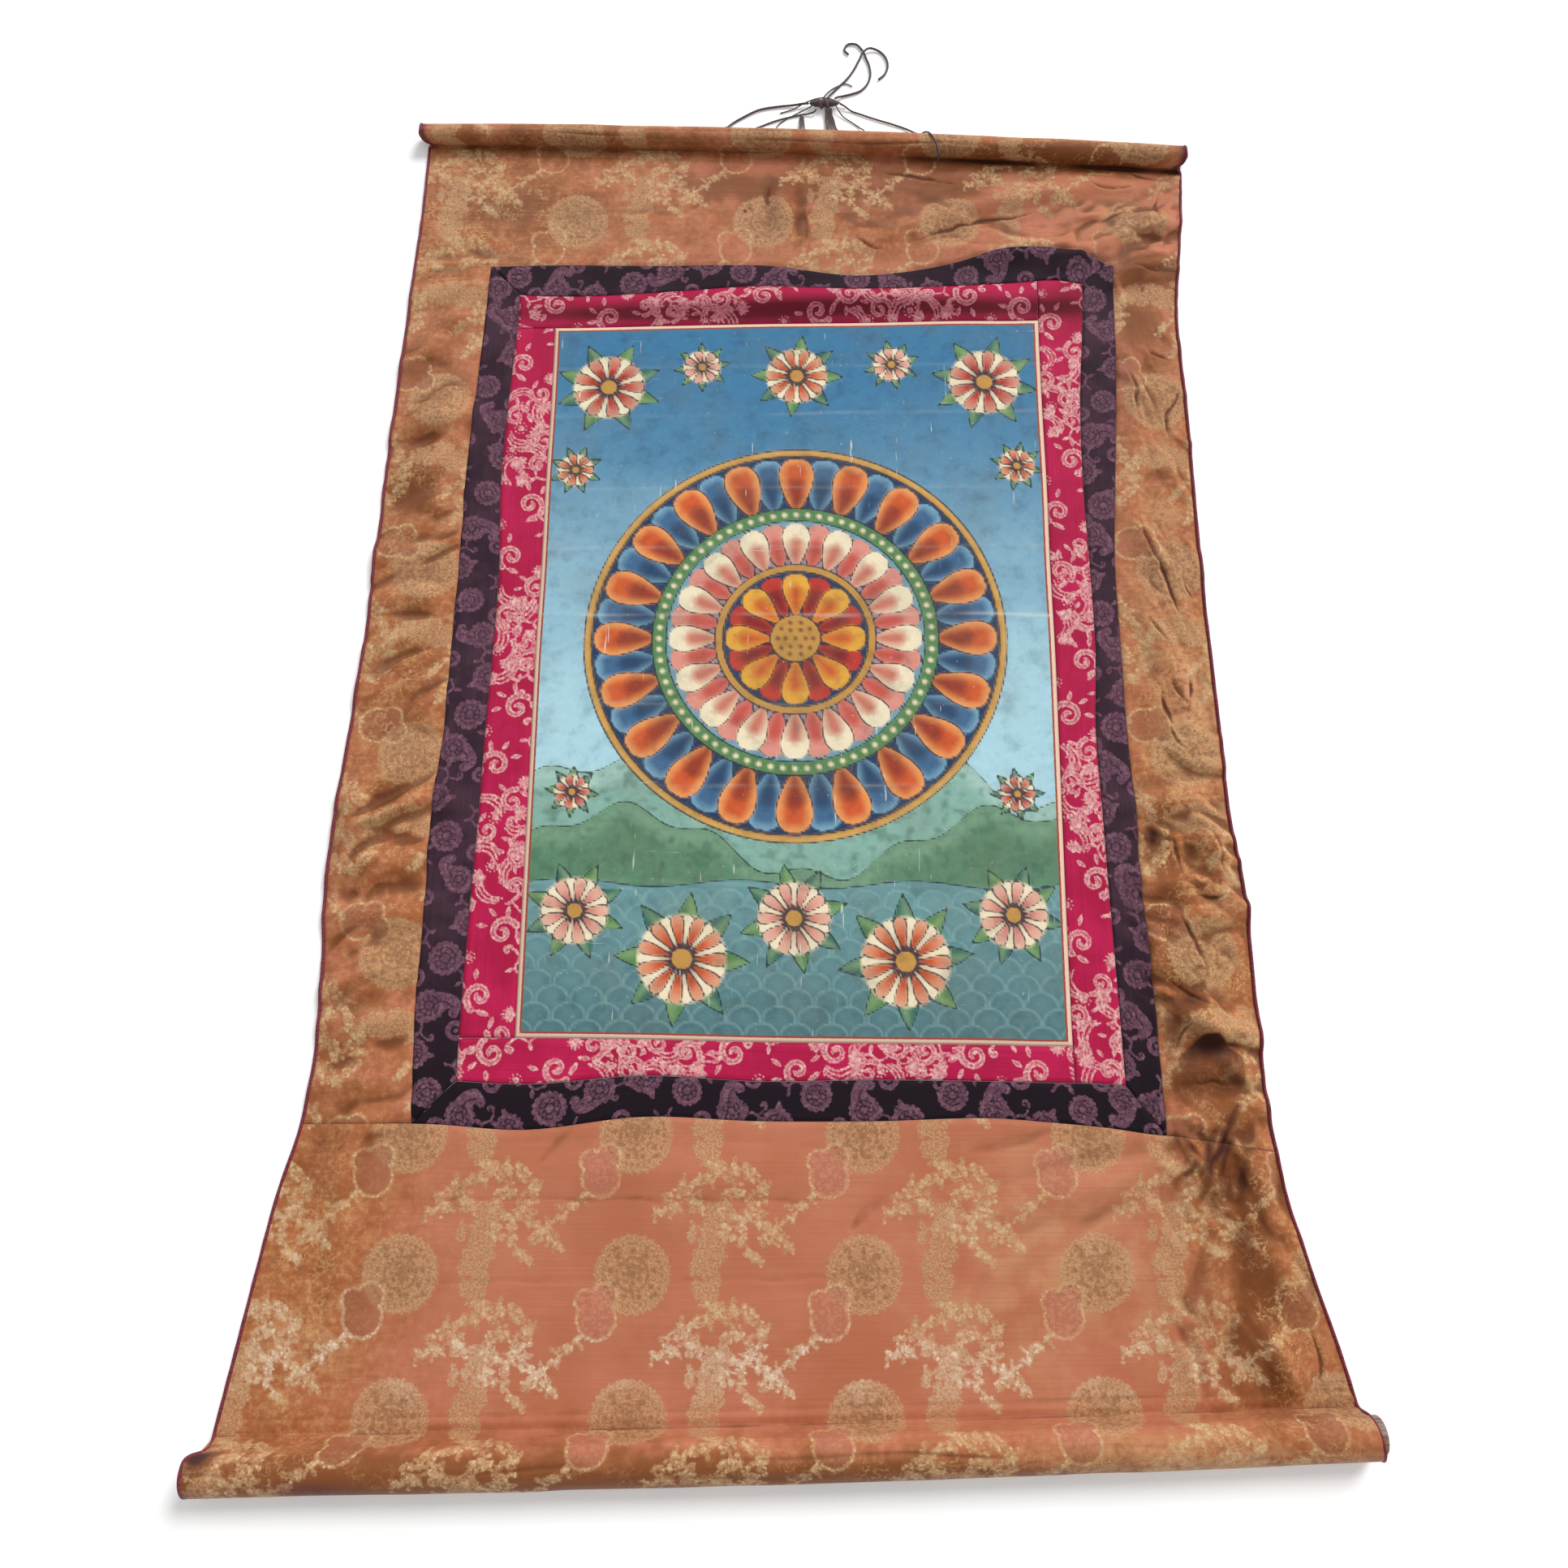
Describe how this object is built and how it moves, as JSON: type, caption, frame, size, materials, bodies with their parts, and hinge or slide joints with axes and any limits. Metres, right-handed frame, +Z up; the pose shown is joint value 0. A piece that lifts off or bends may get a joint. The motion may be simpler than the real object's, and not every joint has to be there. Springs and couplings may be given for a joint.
{
  "type": "hanging scroll with its rod and roller",
  "caption": "Brocade-mounted hanging scroll laid face up: a painted panel inside bordering strips, a thin rod sleeved at the top, a roller at the foot and a knotted hanging cord.",
  "frame": {"origin": "Middle of the underside of the box round the scroll without its hanging cord, on the surface it lies on.", "axes": "+Z is up off the surface, +Y runs from the roller to the top rod, +X to the right as seen from above."},
  "size_m": [0.8011, 1.191, 0.0308],
  "materials": {
    "painted_cloth": "matte",
    "inner_brocade": "satin",
    "outer_brocade": "satin",
    "mount_brocade": "satin",
    "piping": "matte",
    "rod_wood": "worn",
    "cord": "matte"
  },
  "bodies": {
    "root": {"picture": "painted_cloth", "inner_strip_top": "inner_brocade", "inner_strip_bottom": "inner_brocade", "inner_strip_left": "inner_brocade", "inner_strip_right": "inner_brocade", "outer_strip_top": "outer_brocade", "outer_strip_bottom": "outer_brocade", "outer_strip_left": "outer_brocade", "outer_strip_right": "outer_brocade", "mount_top": "mount_brocade", "mount_left": "mount_brocade", "mount_right": "mount_brocade", "mount_bottom": "mount_brocade", "binding_left": "piping", "binding_right": "piping", "top_rod": "rod_wood", "bottom_roller": "rod_wood", "cord_left": "cord", "cord_slack": "cord", "cord_right": "cord", "cord_tie_left": "cord", "cord_tie_right": "cord", "cord_loop_left": "cord", "cord_loop_right": "cord", "cord_knot": "cord"}
  },
  "joints": []
}
